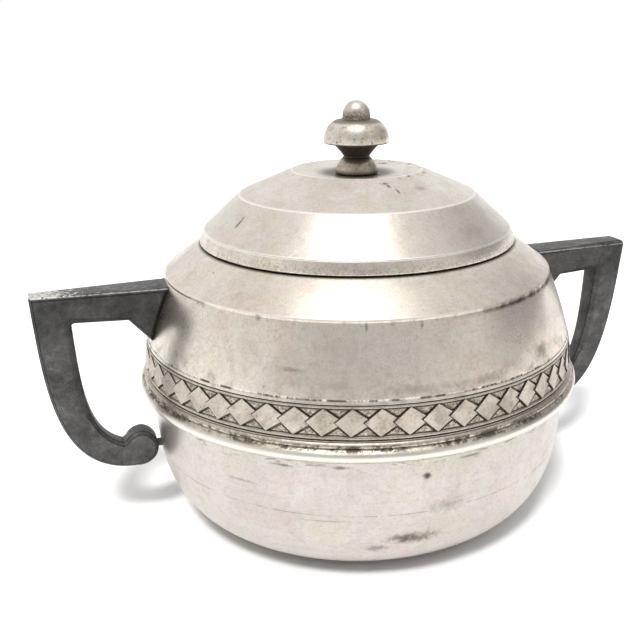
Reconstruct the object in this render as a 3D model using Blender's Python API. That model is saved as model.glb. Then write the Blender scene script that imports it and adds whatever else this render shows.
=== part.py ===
"""A lidded two-handled sugar bowl in aged silver, as an assembly of its separate pieces.

Units in the constants are millimetres; Blender works in metres. +Z is up, the origin is on the table
under the middle of the bowl, and the handles lie along X.
"""

import math

import bmesh
import bpy
from mathutils import Matrix, Vector

MM = 0.001
GAP = 0.3  # between two pieces that are soldered, screwed or set against each other

# Bowl, from the table up
WALL = 1.1
FOOT_OUTER_R = 34.5
FOOT_INNER_R = 31.5
BASE_Z = 1.5
BASE_R = 36.4
BELLY_R = 59.3
BELLY_CURVE_TOP_Z = 39.7
BELLY_RISE_POWER = 3.3
BELLY_ROUND_POWER = 2.3
LOWER_BOWL_TOP_Z = 41.1
BEAD_R = 62.8
BEAD_Z = 41.0
BEAD_TOP_Z = 44.7
BEAD_BOTTOM_Z = 39.0
BAND_BOTTOM_Z = 45.0
BAND_TOP_Z = 53.0
BAND_TOP_R = 60.1
BAND_BOTTOM_R = 60.8
BAND_SEAT_R = 59.2
WALL_BULGE = 0.45
SHOULDER_R = 53.7
SHOULDER_Z = 71.5
SHOULDER_BREAK_R = 48.9  # a faint crease half way up the shoulder
SHOULDER_BREAK_Z = 75.3
SEAT_Z = 78.9
SEAT_OUTER_R = 43.9
MOUTH_R = 41.3
COLLAR_INNER_R = 40.2
COLLAR_BOTTOM_Z = 73.0

# Lid, from the seat up
LID_WALL = 1.0
RIM_TOP_Z = 82.5
RIM_TOP_R = 42.7
RIM_WALL = 1.2
BEZEL_OUTER_R = 39.8
BEZEL_INNER_R = 39.0
BEZEL_BOTTOM_Z = 74.0
FACET_R = 32.7
FACET_Z = 91.7
CROWN_R = 18.0
CROWN_Z = 98.0
DISH_DEPTH = 1.6

# Finial
STEM_BASE_R = 5.9
STEM_WAIST_R = 3.5
STEM_WAIST_Z = 101.3
STEM_TOP_R = 6.2
STEM_TOP_Z = 104.65
KNOB_R = 8.95
KNOB_EDGE = 0.5  # upright rim under the cap's dome
KNOB_DOME_Z = 105.6
KNOB_DOME_HEIGHT = 5.7
KNOB_NECK_R = 4.2
BALL_NECK_R = 4.0
BALL_NECK_Z = 111.4
BALL_R = 3.75
FINIAL_TOP_Z = 116.3
STUD_R = 1.2
STUD_BOTTOM_Z = 90.8
STUD_TOP_Z = 108.6
FINIAL_WASHER_R = 4.6
NUT_ACROSS_FLATS = 5.5
NUT_HEIGHT = 2.3

# Handles, in the plane of X and Z
HANDLE_OUTER_X = 88.9
HANDLE_TOP_Z = 70.4
HANDLE_ROOT_BOTTOM_Z = 55.8
HANDLE_HALF_THICK = 3.1  # at the outer top corner
HANDLE_FLARE = 0.0659  # growth of the half thickness for each millimetre towards the bowl
HANDLE_THINNING = 0.045  # loss of the half thickness for each millimetre down the leg
HANDLE_CHAMFER = 0.7
OPENING_ROOT = (64.9, 62.6)
OPENING_OUTER = (75.2, 63.2)
OPENING_LEG_TOP = (79.2, 60.6)
CROTCH = (69.2, 26.6)
LEG_LOW = (67.0, 19.0)
LEG_HIGH = (88.3, 57.5)
SCROLL_X = 65.2
SCROLL_Z = 24.3
SCROLL_R = 5.35
SCROLL_START_DEG = 35
SCROLL_TURN_DEG = 235
RIGHT_LEG_DRAW_IN = 0.042  # the right handle is bent inwards by this for each millimetre down
RIGHT_HANDLE_SHORT = 0.9  # and reaches out less by this
SCREW_R = 1.5
SCREW_HEAD_R = 2.8
SCREW_HEAD = 1.8
SCREW_END = 6.2
SCREW_SLOT = 0.8
SCREW_WASHER_R = 4.0
SCREW_WALL_Z = 63.0
WASHER_SPACE = 1.0
WASHER_THICK = 0.8
RIVET_R = 1.1
RIVET_HEAD_R = 2.4
RIVET_HEAD = 1.2
RIVET_END = 4.0

ROUND_STEPS = 40
SMALL_STEPS = 24
FIXING_STEPS = 20
RIVET_STEPS = 16


def clear_scene():
    for obj in list(bpy.data.objects):
        bpy.data.objects.remove(obj, do_unlink=True)


def metal(name, colour, roughness, metallic=1.0):
    made = bpy.data.materials.new(name)
    made.use_nodes = True
    shader = made.node_tree.nodes["Principled BSDF"]
    shader.inputs["Base Color"].default_value = (*colour, 1.0)
    shader.inputs["Roughness"].default_value = roughness
    shader.inputs["Metallic"].default_value = metallic
    return made


def add_object(name, mesh_data, material, parent):
    """Links a finished bmesh as an object, with flat faces kept flat and round ones smooth."""
    bmesh.ops.recalc_face_normals(mesh_data, faces=mesh_data.faces)
    if mesh_data.calc_volume(signed=True) < 0:
        bmesh.ops.reverse_faces(mesh_data, faces=mesh_data.faces)
    mesh = bpy.data.meshes.new(name)
    mesh_data.to_mesh(mesh)
    mesh_data.free()
    mesh.shade_smooth()
    mesh.set_sharp_from_angle(angle=math.radians(25))
    obj = bpy.data.objects.new(name, mesh)
    if material is not None:
        mesh.materials.append(material)
    obj.parent = parent
    bpy.context.scene.collection.objects.link(obj)
    return obj


def turned(name, profile, material, parent, steps=ROUND_STEPS, placed=Matrix()):
    """A piece turned about Z from (radius, height) points, an outline that closes on itself or on the axis."""
    work = bmesh.new()
    points = [work.verts.new((r * MM, 0, z * MM)) for r, z in profile]
    edges = [work.edges.new(pair) for pair in zip(points, points[1:])]
    if profile[0][0] > 0 or profile[-1][0] > 0:
        edges.append(work.edges.new((points[-1], points[0])))
    bmesh.ops.spin(
        work, geom=points + edges, axis=(0, 0, 1), cent=(0, 0, 0), angle=math.tau, steps=steps, use_merge=True
    )
    bmesh.ops.remove_doubles(work, verts=work.verts, dist=1e-6)
    bmesh.ops.dissolve_degenerate(work, edges=work.edges, dist=1e-7)
    work.transform(placed)
    return add_object(name, work, material, parent)


def ring(name, inner_r, outer_r, bottom_z, top_z, material, parent, **kind):
    corners = [(inner_r, bottom_z), (outer_r, bottom_z), (outer_r, top_z), (inner_r, top_z)]
    return turned(name, corners, material, parent, **kind)


def cylinder_cutter(name, radius, length, placed, steps=SMALL_STEPS):
    """A guide solid of revolution from its own origin along its own +Z."""
    cutter = turned(name, [(0, 0), (radius, 0), (radius, length), (0, length)], None, None, steps, placed)
    cutter.hide_render = True
    cutter.display_type = "WIRE"
    return cutter


def cut(obj, cutter):
    boolean = obj.modifiers.new("cut_" + cutter.name, "BOOLEAN")
    boolean.operation = "DIFFERENCE"
    boolean.solver = "EXACT"
    boolean.object = cutter


def bezier(start, start_pull, end_pull, end, count):
    """Points along a cubic curve, without its first."""
    found = []
    for i in range(1, count + 1):
        t = i / count
        weights = ((1 - t) ** 3, 3 * t * (1 - t) ** 2, 3 * t * t * (1 - t), t**3)
        shaped = zip(start, start_pull, end_pull, end)
        found.append(tuple(sum(w * c for w, c in zip(weights, axis)) for axis in shaped))
    return found


def wall_radius(z):
    """Outside of the upper wall: a slightly bulging cone from the shoulder down to the band."""
    t = (SHOULDER_Z - z) / (SHOULDER_Z - BAND_TOP_Z)
    return SHOULDER_R + (BAND_TOP_R - SHOULDER_R) * t + 4 * WALL_BULGE * t * (1 - t)


def belly(count, inset=0.0):
    """(radius, height) points of the lower bowl's round, from its flat base upward."""
    found = []
    for i in range(count + 1):
        t = (i / count) ** 2
        round_out = (1 - (1 - t) ** BELLY_RISE_POWER) ** (1 / BELLY_ROUND_POWER)
        radius = BASE_R + (BELLY_R - inset - BASE_R) * round_out
        found.append((radius, BASE_Z + inset + (BELLY_CURVE_TOP_Z - BASE_Z - inset) * t))
    return found


def screw_place(side):
    """Where a handle screw starts on the wall's outside, with its +Z along the wall's normal."""
    slope = math.atan2(BAND_TOP_R - SHOULDER_R, SHOULDER_Z - BAND_TOP_Z)
    tilt = Matrix.Rotation(side * (math.pi / 2 - slope), 4, "Y")
    at = Vector((side * wall_radius(SCREW_WALL_Z), 0, SCREW_WALL_Z)) * MM
    return Matrix.Translation(at) @ tilt


def rivet_place(side):
    at = Vector((side * BELLY_R, 0, SCROLL_Z)) * MM
    return Matrix.Translation(at) @ Matrix.Rotation(side * math.pi / 2, 4, "Y")


def along_z(placed, offset):
    return placed @ Matrix.Translation((0, 0, offset * MM))


def build_bowl(parent, silver):
    outside = [(0, BASE_Z), *belly(10), (BELLY_R, LOWER_BOWL_TOP_Z)]
    inside = [(BELLY_R - WALL, LOWER_BOWL_TOP_Z), *reversed(belly(8, WALL)), (0, BASE_Z + WALL)]
    lower_bowl = turned("lower_bowl", outside + inside, silver, parent)

    wall_heights = [SHOULDER_Z + (BAND_TOP_Z + GAP - SHOULDER_Z) * i / 5 for i in range(6)]
    shoulder = [(SEAT_OUTER_R, SEAT_Z), (SHOULDER_BREAK_R, SHOULDER_BREAK_Z)]
    outside = [(MOUTH_R, SEAT_Z), *shoulder, *((wall_radius(z), z) for z in wall_heights)]
    outside += [(BAND_SEAT_R, BAND_TOP_Z + GAP), (BAND_SEAT_R, LOWER_BOWL_TOP_Z + GAP)]
    inside = [(BAND_SEAT_R - WALL, LOWER_BOWL_TOP_Z + GAP), (BAND_SEAT_R - WALL, BAND_TOP_Z - 1)]
    inside += [(wall_radius(z) - WALL, z) for z in reversed(wall_heights[:-1])]
    inside += [(SHOULDER_BREAK_R - 0.5, SHOULDER_BREAK_Z - WALL), (SEAT_OUTER_R - 0.4, SEAT_Z - WALL)]
    inside += [(MOUTH_R, SEAT_Z - WALL)]
    upper_shell = turned("upper_shell", outside + inside, silver, parent)

    bead_inner_r = BELLY_R + GAP
    bead = [(bead_inner_r, BEAD_BOTTOM_Z), (BEAD_R - 1.5, BEAD_BOTTOM_Z + 0.3), (BEAD_R - 0.4, BEAD_Z - 1.1)]
    bead += [(BEAD_R, BEAD_Z - 0.3), (BEAD_R - 0.05, BEAD_Z + 0.4), (BEAD_R - 0.5, BEAD_Z + 1.2)]
    bead += [(BEAD_R - 1.3, BEAD_Z + 1.9), (BEAD_R - 1.2, BEAD_Z + 2.4), (BEAD_R - 1.6, BEAD_TOP_Z - 0.5)]
    bead += [(BEAD_R - 1.9, BEAD_TOP_Z)]
    turned("girdle_bead", [*bead, (bead_inner_r, BEAD_TOP_Z)], silver, parent)

    band = [(BAND_SEAT_R + GAP, BAND_BOTTOM_Z), (BAND_BOTTOM_R, BAND_BOTTOM_Z)]
    band += [(BAND_TOP_R, BAND_TOP_Z), (BAND_SEAT_R + GAP, BAND_TOP_Z)]
    turned("lattice_band", band, silver, parent)

    ring("mouth_collar", COLLAR_INNER_R, MOUTH_R - GAP, COLLAR_BOTTOM_Z, SEAT_Z, silver, parent)
    ring("foot_ring", FOOT_INNER_R, FOOT_OUTER_R, 0, BASE_Z - GAP, silver, parent)
    return lower_bowl, upper_shell


def handle_outline(side):
    """The handle's outline as distances from the axis and heights, anticlockwise from its top at the body."""
    root_heights = [HANDLE_TOP_Z + (HANDLE_ROOT_BOTTOM_Z - HANDLE_TOP_Z) * i / 3 for i in range(4)]
    root = [(wall_radius(z) + GAP + 0.05, z) for z in root_heights]
    corner_pulls = ((77.6, 63.2), (79.1, 62.4))
    opening = [OPENING_ROOT, OPENING_OUTER, *bezier(OPENING_OUTER, *corner_pulls, OPENING_LEG_TOP, 4)]
    leg_inside = bezier(OPENING_LEG_TOP, (78.6, 41.0), (77.6, 30.4), CROTCH, 9)
    scroll = []
    for i in range(1, 17):
        angle = math.radians(SCROLL_START_DEG + SCROLL_TURN_DEG * i / 16)
        reach = SCROLL_R * min(1.0, 0.75 + 0.25 * i / 5)
        scroll.append((SCROLL_X + reach * math.cos(angle), SCROLL_Z + reach * math.sin(angle)))
    leg_outside = bezier(LEG_LOW, (84.0, 19.4), (87.2, 38.0), LEG_HIGH, 10)
    top_corner = (HANDLE_OUTER_X, HANDLE_TOP_Z)
    points = opening + leg_inside + scroll + leg_outside + [top_corner]
    if side > 0:
        points = [(x - drawn_in(x, z), z) for x, z in points]
    return root + points


def drawn_in(x, z):
    """How far the right handle stands nearer the bowl than the left one, growing outwards and down its leg."""
    outward = min(1.0, max(0.0, (x - OPENING_ROOT[0]) / (OPENING_OUTER[0] - OPENING_ROOT[0])))
    return outward * (RIGHT_HANDLE_SHORT + RIGHT_LEG_DRAW_IN * (HANDLE_TOP_Z - z))


def half_thickness(x, z):
    towards_bowl, down = HANDLE_OUTER_X - x, HANDLE_TOP_Z - z
    return HANDLE_HALF_THICK + HANDLE_FLARE * towards_bowl - HANDLE_THINNING * down


def build_handle(name, side, parent, material):
    """A cast bracket handle: the outline between two flat faces that draw together outwards and down."""
    work = bmesh.new()
    outline = handle_outline(side)
    sheet = [work.verts.new((side * x * MM, -half_thickness(x, z) * MM, z * MM)) for x, z in outline]
    face = work.faces.new(sheet)
    grown = bmesh.ops.extrude_face_region(work, geom=[face])
    for vert in grown["geom"]:
        if isinstance(vert, bmesh.types.BMVert):
            vert.co.y = -vert.co.y
    handle = add_object(name, work, material, parent)
    chamfer = handle.modifiers.new("worn_edges", "BEVEL")
    chamfer.width = HANDLE_CHAMFER * MM
    chamfer.segments = 1
    chamfer.limit_method = "ANGLE"
    chamfer.angle_limit = math.radians(60)
    return handle


def build_screw(label, side, parent, steel, handle, upper_shell):
    """A slotted screw with its washer, from inside the bowl through the wall into the handle's root."""
    at_wall = screw_place(side)
    head_top = -WALL - GAP - WASHER_SPACE - GAP
    head_bottom = head_top - SCREW_HEAD
    profile = [(0, head_bottom), (SCREW_HEAD_R, head_bottom), (SCREW_HEAD_R, head_top), (SCREW_R, head_top)]
    profile += [(SCREW_R, SCREW_END), (0, SCREW_END + 0.6)]
    screw = turned(f"handle_{label}_screw", profile, steel, parent, FIXING_STEPS, at_wall)
    slot = bmesh.new()
    bmesh.ops.create_cube(slot, size=1)
    slot_size = Matrix.Diagonal((3 * SCREW_HEAD_R * MM, SCREW_SLOT * MM, SCREW_HEAD * MM, 1))
    slot.transform(along_z(at_wall, head_bottom) @ slot_size)
    slot_cutter = add_object(f"handle_{label}_slot_cutter", slot, None, None)
    slot_cutter.hide_render = True
    slot_cutter.display_type = "WIRE"
    cut(screw, slot_cutter)
    washer_z = -WALL - GAP - WASHER_SPACE
    ring(
        f"handle_{label}_washer", SCREW_R + GAP, SCREW_WASHER_R, washer_z, washer_z + WASHER_THICK, steel, parent,
        steps=FIXING_STEPS, placed=at_wall,
    )
    clear_r = SCREW_R + GAP
    hole = cylinder_cutter(f"handle_{label}_screw_cutter", clear_r, 12, along_z(at_wall, -5), FIXING_STEPS)
    bore_length = 2 + SCREW_END + 3 * GAP
    bore = cylinder_cutter(f"handle_{label}_bore_cutter", clear_r, bore_length, along_z(at_wall, -2), FIXING_STEPS)
    cut(upper_shell, hole)
    cut(handle, bore)


def build_rivet(label, side, parent, steel, handle, lower_bowl):
    """A round-headed rivet from inside the bowl into the handle's scroll."""
    at_scroll = rivet_place(side)
    head_top = -WALL - 4 * GAP
    profile = [(0, head_top - RIVET_HEAD), (RIVET_HEAD_R - 0.8, head_top - RIVET_HEAD + 0.2)]
    profile += [(RIVET_HEAD_R - 0.1, head_top - 0.4), (RIVET_HEAD_R, head_top), (RIVET_R, head_top)]
    profile += [(RIVET_R, RIVET_END), (0, RIVET_END + 0.4)]
    turned(f"handle_{label}_rivet", profile, steel, parent, RIVET_STEPS, at_scroll)
    hole_length = 2.5 + RIVET_END + 2 * GAP
    hole = cylinder_cutter(f"handle_{label}_rivet_cutter", RIVET_R + GAP, hole_length, along_z(at_scroll, -2.5), RIVET_STEPS)
    cut(lower_bowl, hole)
    cut(handle, hole)


def build_lid(parent, silver):
    rim = [(BEZEL_OUTER_R + GAP, SEAT_Z + GAP), (SEAT_OUTER_R, SEAT_Z + GAP), (RIM_TOP_R, RIM_TOP_Z)]
    flange_top_z = SEAT_Z + GAP + LID_WALL
    rim += [(RIM_TOP_R - RIM_WALL, RIM_TOP_Z), (SEAT_OUTER_R - 1.6, flange_top_z), (BEZEL_OUTER_R + GAP, flange_top_z)]
    turned("lid_rim", rim, silver, parent)

    stud_hole_r = STUD_R + GAP
    dish = [CROWN_R * share for share in (0.3, 0.6, 0.85, 1.0)]
    crown = [(r, CROWN_Z - DISH_DEPTH * (1 - (r / CROWN_R) ** 2)) for r in dish]
    hole_z = CROWN_Z - DISH_DEPTH
    outside = [(stud_hole_r, hole_z), *crown, (FACET_R, FACET_Z), (RIM_TOP_R, RIM_TOP_Z + GAP)]
    inside = [(RIM_TOP_R - RIM_WALL, RIM_TOP_Z + GAP), (FACET_R - 0.7, FACET_Z - LID_WALL - 0.1)]
    inside += [(r - 0.2, z - LID_WALL - 0.1) for r, z in reversed(crown)]
    inside += [(stud_hole_r, hole_z - LID_WALL)]
    turned("lid_shell", outside + inside, silver, parent)


def build_finial(parent, silver, steel):
    stud_hole_r = STUD_R + GAP
    stem_bottom_z = CROWN_Z - DISH_DEPTH + 0.5
    stem = [(stud_hole_r, stem_bottom_z), (STEM_BASE_R, stem_bottom_z), (STEM_BASE_R, stem_bottom_z + 0.4)]
    stem += [(5.3, 98.4), (4.9, 99.6), (4.1, 100.7), (STEM_WAIST_R, STEM_WAIST_Z), (4.6, 102.8)]
    stem += [(STEM_TOP_R, STEM_TOP_Z), (stud_hole_r, STEM_TOP_Z)]
    turned("finial_stem", stem, silver, parent, SMALL_STEPS)

    knob_bottom_z = STEM_TOP_Z + GAP
    knob = [(stud_hole_r, STUD_TOP_Z + GAP), (stud_hole_r, knob_bottom_z), (KNOB_R - 0.15, knob_bottom_z)]
    knob += [(KNOB_R, knob_bottom_z + KNOB_EDGE)]
    for i in range(1, 6):
        angle = math.radians(15 * i)
        cap_r = KNOB_NECK_R + (KNOB_R - KNOB_NECK_R) * math.cos(angle)
        knob.append((cap_r, KNOB_DOME_Z + KNOB_DOME_HEIGHT * math.sin(angle)))
    knob += [(BALL_NECK_R, BALL_NECK_Z), (BALL_R, FINIAL_TOP_Z - BALL_R)]
    for i in range(1, 5):
        angle = math.radians(20 * i)
        knob.append((BALL_R * math.cos(angle), FINIAL_TOP_Z - BALL_R + BALL_R * math.sin(angle)))
    turned("finial_knob", [(0, STUD_TOP_Z + GAP), *knob, (0, FINIAL_TOP_Z)], silver, parent, SMALL_STEPS)

    stud = [(0, STUD_BOTTOM_Z), (STUD_R, STUD_BOTTOM_Z), (STUD_R, STUD_TOP_Z), (0, STUD_TOP_Z)]
    turned("finial_stud", stud, steel, parent, RIVET_STEPS)
    washer_top_z = CROWN_Z - DISH_DEPTH - LID_WALL - GAP
    washer_bottom_z = washer_top_z - WASHER_THICK
    ring(
        "finial_washer", stud_hole_r, FINIAL_WASHER_R, washer_bottom_z, washer_top_z, steel, parent,
        steps=SMALL_STEPS,
    )
    nut_top_z = washer_bottom_z - GAP
    nut_bottom_z = nut_top_z - NUT_HEIGHT
    corner_r = NUT_ACROSS_FLATS / math.sqrt(3)
    nut_profile = [(0, nut_bottom_z), (corner_r, nut_bottom_z), (corner_r, nut_top_z), (0, nut_top_z)]
    nut = turned("finial_nut", nut_profile, steel, parent, 6)
    below_nut = Matrix.Translation((0, 0, (nut_top_z - 4) * MM))
    cut(nut, cylinder_cutter("finial_nut_cutter", stud_hole_r, 6, below_nut, RIVET_STEPS))


def main():
    clear_scene()
    bpy.context.scene.unit_settings.scale_length = 1.0
    silver = metal("aged_silver", (0.62, 0.60, 0.56), 0.3)
    iron = metal("dark_cast_metal", (0.055, 0.055, 0.058), 0.5)
    steel = metal("fixings_steel", (0.45, 0.44, 0.42), 0.4)

    bowl = bpy.data.objects.new("bowl", None)
    lid = bpy.data.objects.new("lid", None)
    for empty in (bowl, lid):
        bpy.context.scene.collection.objects.link(empty)

    lower_bowl, upper_shell = build_bowl(bowl, silver)
    for label, side in (("left", -1), ("right", 1)):
        handle = build_handle(f"handle_{label}", side, bowl, iron)
        build_screw(label, side, bowl, steel, handle, upper_shell)
        build_rivet(label, side, bowl, steel, handle, lower_bowl)
    build_lid(lid, silver)
    ring("lid_bezel", BEZEL_INNER_R, BEZEL_OUTER_R, BEZEL_BOTTOM_Z, RIM_TOP_Z - 0.5, silver, lid)
    build_finial(lid, silver, steel)


main()
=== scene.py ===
"""A lidded two-handled sugar bowl in aged silver with dark cast handles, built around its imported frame."""

import math

import bmesh
import bpy
from bpy.props import FloatProperty, FloatVectorProperty, IntProperty, PointerProperty
from mathutils import Matrix, Vector


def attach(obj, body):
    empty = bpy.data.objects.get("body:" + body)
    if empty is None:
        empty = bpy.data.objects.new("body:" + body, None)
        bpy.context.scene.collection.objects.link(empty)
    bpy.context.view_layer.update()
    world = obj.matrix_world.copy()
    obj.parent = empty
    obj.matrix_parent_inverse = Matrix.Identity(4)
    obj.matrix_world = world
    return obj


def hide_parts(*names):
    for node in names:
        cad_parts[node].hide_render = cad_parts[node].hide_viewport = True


bl_info = {
    "name": "Silver sugar bowl",
    "version": (1, 0, 0),
    "blender": (4, 5, 0),
    "location": "3D View > Sidebar > Sugar Bowl",
    "description": "Builds a lidded sugar bowl with a lattice band and two bracket handles",
    "category": "Add Mesh",
}

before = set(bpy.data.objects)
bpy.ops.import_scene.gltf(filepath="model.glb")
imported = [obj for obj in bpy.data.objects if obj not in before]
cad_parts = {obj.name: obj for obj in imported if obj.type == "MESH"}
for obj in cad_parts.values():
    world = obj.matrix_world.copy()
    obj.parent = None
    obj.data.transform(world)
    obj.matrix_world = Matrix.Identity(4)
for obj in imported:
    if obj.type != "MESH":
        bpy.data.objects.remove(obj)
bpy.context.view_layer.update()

MM = 0.001
WELD = 1e-6
EASE_STEPS = 4
SILVER_SLOT = "aged_silver"
BRIGHT_SLOT = "bright_silver"
BAND_SLOT = "patterned_band"
STEM_SLOT = "tarnished_silver"
HANDLE_SLOT = "dark_cast_metal"


def length(name, description, default_mm):
    return FloatProperty(
        name=name, description=description, default=default_mm * MM, min=0.0, unit="LENGTH", precision=5
    )


def colour(name, description, default):
    return FloatVectorProperty(
        name=name, description=description, default=default, size=3, min=0.0, max=1.0, subtype="COLOR"
    )


class SugarBowlSizes(bpy.types.PropertyGroup):
    """The bowl, its band and its beads."""

    wall: length("Wall", "Thickness of the spun metal", 1.1)
    base_radius: length("Base radius", "Flat underside of the bowl", 36.4)
    base_height: length("Base height", "Underside above the table", 1.5)
    belly_radius: length("Belly radius", "Widest part of the lower bowl", 59.3)
    belly_top: length("Belly top", "Where the lower bowl turns upright", 39.7)
    shoulder_radius: length("Shoulder radius", "Crease between wall and shoulder", 53.7)
    shoulder_height: length("Shoulder height", "Crease between wall and shoulder", 71.5)
    seat_radius: length("Seat radius", "Where the lid rests", 43.9)
    seat_height: length("Seat height", "Where the lid rests", 78.9)
    mouth_radius: length("Mouth radius", "Opening of the bowl", 41.3)
    band_top_radius: length("Band top radius", "Foot of the wall", 60.1)
    band_top: length("Band top", "Upper edge of the lattice band", 53.0)
    band_bottom: length("Band bottom", "Lower edge of the lattice band", 45.0)
    tiles: IntProperty(name="Tiles", description="Overlapping diamonds round the band", default=56, min=8)
    first_tile: FloatProperty(
        name="First tile",
        description="Where the first diamond's left corner stands",
        default=math.radians(-17.57),
        subtype="ANGLE",
    )
    steps: IntProperty(name="Round steps", description="Facets round a turned piece", default=256, min=32)


class SugarBowlLidSizes(bpy.types.PropertyGroup):
    """The lid and its finial."""

    rim_top: length("Rim top", "Upper edge of the lid's rim", 82.5)
    rim_radius: length("Rim radius", "Lid's rim at its upper edge", 42.7)
    facet_radius: length("Facet radius", "Crease between the two cones of the lid", 32.7)
    facet_height: length("Facet height", "Crease between the two cones of the lid", 91.7)
    crown_radius: length("Crown radius", "Edge of the dished crown", 18.0)
    crown_height: length("Crown height", "Edge of the dished crown", 98.0)
    dish: length("Dish", "Depth of the crown's hollow", 1.6)
    bezel_bottom: length("Bezel bottom", "Lower end of the lid's guide ring", 74.0)
    knob_radius: length("Knob radius", "Widest part of the finial", 8.95)
    ball_radius: length("Ball radius", "Ball on the finial's cap", 3.75)
    finial_top: length("Finial top", "Highest point of the finial", 116.3)


class SugarBowlHandleSizes(bpy.types.PropertyGroup):
    """Two cast bracket handles."""

    outer: length("Outer end", "Middle of the bowl to the handle's outer corner", 88.9)
    top: length("Top", "Upper face above the table", 70.4)
    root_bottom: length("Root bottom", "Lower end of the joint with the wall", 55.8)
    half_thick: length("Half thickness", "At the outer top corner", 3.45)
    flare: FloatProperty(
        name="Flare", description="Growth of the half thickness towards the bowl", default=0.0659
    )
    thinning: FloatProperty(
        name="Thinning", description="Loss of the half thickness down the leg", default=0.045
    )
    scroll_x: length("Scroll centre", "Middle of the bowl to the scroll's centre", 65.2)
    scroll_z: length("Scroll height", "Centre of the scroll above the table", 24.3)
    scroll_radius: length("Scroll radius", "Round end of the leg", 5.35)
    chamfer: length("Chamfer", "Outer edges of the two faces", 0.8)
    inner_chamfer: length("Inner chamfer", "Edges round the finger opening", 1.65)
    right_short: length("Right handle short", "How much less the right handle reaches out", 0.9)
    right_draw_in: FloatProperty(
        name="Right draw-in", description="Lean of the right leg inwards", default=0.042
    )
    right_rise: length("Right rise", "How much the right handle's outer corner stands higher", 0.9)
    right_round: length("Right corner", "Rounding of the right handle's outer top corner", 2.2)


class SugarBowlFinishes(bpy.types.PropertyGroup):
    """Colours of the metals and the studio."""

    silver: colour("Silver", "Worn upper body and lid", (0.83, 0.765, 0.68))
    lid: colour("Lid silver", "Lid, a little less worn", (0.79, 0.735, 0.67))
    silver_shade: colour("Silver shade", "Duller patches of the same silver", (0.67, 0.61, 0.525))
    # The band's silver is darker than the body's: its rubbed patina, and painted shade standing in for the dark
    # reflection of what stands in front of the bowl
    band: colour("Band silver", "Rubbed diamonds of the band", (0.61, 0.555, 0.478))
    band_shade: colour("Band silver shade", "Duller patches of the band", (0.46, 0.415, 0.35))
    bright: colour("Bright silver", "Lower bowl, rubbed by use", (0.65, 0.605, 0.57))
    bright_shade: colour("Bright silver shade", "Greyer patches of the lower bowl", (0.56, 0.52, 0.475))
    # The tarnish colour also paints shade under the bowl and on the ball, and the spool's reflection in the dish
    tarnish: colour("Tarnish", "Dark deposit in grooves", (0.075, 0.06, 0.045))
    stain: colour("Stain", "Brown deposit beside grooves", (0.33, 0.28, 0.21))
    iron: colour("Cast metal", "Dark handles", (0.088, 0.086, 0.084))
    # Also paints the handles' top faces lighter as light from above, and their top edge as a highlight line
    iron_worn_and_painted_light: colour("Cast metal, worn", "Rubbed edges of the handles", (0.27, 0.265, 0.255))
    iron_bare: colour("Cast metal, bare", "Silvery flakes on the handles' tops", (0.60, 0.585, 0.55))
    # Colour of rubbed edges, also used to paint highlight lines on creases and ridges
    worn_edge_and_highlight: colour("Worn edge", "Creases and edges rubbed bright", (0.95, 0.91, 0.85))
    steel: colour("Fixings", "Screws, washers, rivets, stud and nut", (0.52, 0.50, 0.47))
    floor: colour("Floor", "Pale table top", (0.92, 0.92, 0.92))


# Node trees


class Value:
    """A socket of a node tree. Arithmetic on it adds Math nodes."""

    def __init__(self, nodes, socket):
        self.nodes = nodes
        self.socket = socket

    def math(self, operation, *others, clamp=False):
        inputs = dict(enumerate((self, *others)))
        return self.nodes.add("ShaderNodeMath", {"operation": operation, "use_clamp": clamp}, inputs)

    def __add__(self, other):
        return self.math("ADD", other)

    def __sub__(self, other):
        return self.math("SUBTRACT", other)

    def __rsub__(self, other):
        return self.nodes.add("ShaderNodeMath", {"operation": "SUBTRACT"}, {0: other, 1: self})

    def __mul__(self, other):
        return self.math("MULTIPLY", other)

    def __truediv__(self, other):
        return self.math("DIVIDE", other)

    def __neg__(self):
        return self.math("MULTIPLY", -1.0)

    __radd__ = __add__
    __rmul__ = __mul__

    def __abs__(self):
        return self.math("ABSOLUTE")

    def most(self, other):
        return self.math("MAXIMUM", other)

    def clamped(self):
        return self.math("ADD", 0.0, clamp=True)

    def ramped(self, low, high):
        """0 at low, 1 at high, smooth between them. High may be the smaller."""
        return self.nodes.add(
            "ShaderNodeMapRange",
            {"interpolation_type": "SMOOTHSTEP", "clamp": True},
            {"Value": self, "From Min": low, "From Max": high},
        )

    def near(self, middle, half_width, softness):
        """1 within half_width of middle, fading to 0 over softness."""
        return abs(self - middle).ramped(half_width + softness, half_width)


class Nodes:
    """Adds nodes to a tree and links what feeds them."""

    def __init__(self, tree):
        self.tree = tree

    def add(self, kind, settings=None, inputs=None, output=0):
        node = self.tree.nodes.new(kind)
        for key, value in (settings or {}).items():
            setattr(node, key, value)
        for key, value in (inputs or {}).items():
            self.feed(node.inputs[key], value)
        return Value(self, node.outputs[output])

    def feed(self, socket, value):
        if isinstance(value, Value):
            self.tree.links.new(value.socket, socket)
        elif socket.type == "RGBA" and len(value) == 3:
            socket.default_value = (*value, 1.0)
        else:
            socket.default_value = value

    def mixed(self, first, second, share, blend="MIX"):
        """A colour between two others, or one laid over the other with a blend."""
        return self.add(
            "ShaderNodeMix", {"data_type": "RGBA", "blend_type": blend}, {0: share, 6: first, 7: second}, 2
        )

    def scaled(self, vector, by):
        settings = {"operation": "MULTIPLY"}
        return self.add("ShaderNodeVectorMath", settings, {0: vector, 1: by})

    def noise(self, place, scale, detail=3.0, roughness=0.5, distortion=0.0):
        inputs = {"Vector": place, "Scale": scale, "Detail": detail}
        inputs.update({"Roughness": roughness, "Distortion": distortion})
        return self.add("ShaderNodeTexNoise", {}, inputs)

    def split(self, vector):
        node = self.tree.nodes.new("ShaderNodeSeparateXYZ")
        self.feed(node.inputs[0], vector)
        return [Value(self, output) for output in node.outputs]

    def joined(self, x, y, z):
        return self.add("ShaderNodeCombineXYZ", {}, {0: x, 1: y, 2: z})


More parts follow.
